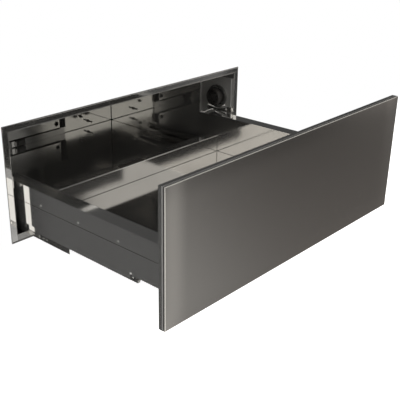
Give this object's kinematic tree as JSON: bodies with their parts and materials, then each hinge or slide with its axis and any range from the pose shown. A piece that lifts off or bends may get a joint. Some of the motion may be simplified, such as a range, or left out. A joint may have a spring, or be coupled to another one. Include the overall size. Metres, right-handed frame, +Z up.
{
  "type": "built-in warming drawer",
  "caption": "Wide low built-in warming drawer with a handleless slab front, a double-walled heated tub on telescopic runners and a framed steel housing with a side fan.",
  "frame": {"origin": "middle of the underside of the centre base rail, halfway along the housing's depth", "axes": "+X to the right seen from the front, +Y to the back of the housing (the front faces -Y and closes towards +Y), +Z up"},
  "size_m": [0.76, 1.0039, 0.268],
  "materials": {
    "front_satin": "satin graphite",
    "shadow_black": "matt black",
    "trim_aluminium": "satin grey",
    "graphite_steel": "dark polished graphite",
    "polished_steel": "mirror polished dark steel",
    "frame_steel": "polished steel",
    "galvanised": "matt zinc",
    "runner_zinc": "dark zinc",
    "bright_chrome": "bright",
    "black_plastic": "matt black",
    "black_rubber": "matt",
    "insulation": "mineral wool",
    "heater_tube": "oxidised",
    "board_green": "lacquered board",
    "terminal_white": "matt",
    "lens_white": "gloss"
  },
  "bodies": {
    "housing": {"housing_base": "polished_steel", "housing_side_left": "frame_steel", "housing_side_right": "frame_steel", "housing_top": "frame_steel", "housing_back": "polished_steel", "base_rail_left": "galvanised", "base_rail_right": "galvanised", "base_rail_centre": "galvanised", "electronics_box": "galvanised", "control_board": "board_green", "terminal_block": "terminal_white", "cable_gland": "black_plastic", "rear_cover_plate": "polished_steel", "cover_grommet": "black_rubber", "cover_skirt": "graphite_steel", "cover_end_block": "black_plastic", "rear_buffer": "black_rubber", "buffer_clip": "bright_chrome", "catch_pin": "runner_zinc", "cavity_sensor": "runner_zinc", "fan_plate": "polished_steel", "fan_housing": "black_plastic", "fan_grille": "black_plastic", "fan_collar": "bright_chrome", "runner_cabinet_left": "runner_zinc", "runner_cabinet_right": "runner_zinc"},
    "drawer": {"front_skin": "front_satin", "front_spacer": "shadow_black", "front_inner_frame": "trim_aluminium", "front_back_pan": "graphite_steel", "front_insulation": "insulation", "front_seal": "black_rubber", "side_shell_left": "graphite_steel", "side_shell_right": "graphite_steel", "tub_floor": "polished_steel", "tub_wall_left": "polished_steel", "tub_wall_right": "polished_steel", "tub_back": "polished_steel", "tub_front": "polished_steel", "back_shell": "graphite_steel", "front_cap": "graphite_steel", "drawer_pan": "galvanised", "insulation_side_left": "insulation", "insulation_side_right": "insulation", "insulation_back": "insulation", "insulation_front": "insulation", "insulation_floor": "insulation", "heating_element": "heater_tube", "floor_sensor": "runner_zinc", "runner_drawer_left": "runner_zinc", "runner_drawer_right": "runner_zinc", "runner_clip_left": "black_plastic", "runner_clip_right": "black_plastic", "control_strip": "black_plastic", "indicator_window": "lens_white"},
    "runner_middle_left": {"runner_middle_left": "runner_zinc"},
    "runner_middle_right": {"runner_middle_right": "runner_zinc"},
    "fan_rotor": {"fan_rotor": "black_plastic"},
    "power_key": {"power_key": "trim_aluminium"},
    "temperature_knob": {"temperature_knob": "trim_aluminium"}
  },
  "joints": [
    {"name": "drawer_slide", "type": "slide", "parent": "housing", "child": "drawer", "axis": [0, 1, 0], "range_m": [0, 0.44]},
    {"name": "runner_left_slide", "type": "slide", "parent": "housing", "child": "runner_middle_left", "axis": [0, 1, 0], "range_m": [0, 0.22]},
    {"name": "runner_right_slide", "type": "slide", "parent": "housing", "child": "runner_middle_right", "axis": [0, 1, 0], "range_m": [0, 0.22]},
    {"name": "fan_spin", "type": "hinge", "parent": "housing", "child": "fan_rotor", "pos_m": [0.3441, -0.196, 0.1695], "axis": [1, 0, 0], "continuous": true},
    {"name": "power_key_press", "type": "slide", "parent": "drawer", "child": "power_key", "axis": [0, 0, -1], "range_m": [0, 0.0012], "stiffness_N_per_m": 300, "springref_m": -0.002},
    {"name": "temperature_turn", "type": "hinge", "parent": "drawer", "child": "temperature_knob", "pos_m": [0.08, -0.6765, 0.137], "axis": [0, 0, 1], "range_deg": [-135, 135]}
  ],
  "couplings": [
    {"joint": "runner_left_slide", "follows": "drawer_slide", "ratio": 0.5},
    {"joint": "runner_right_slide", "follows": "drawer_slide", "ratio": 0.5}
  ]
}
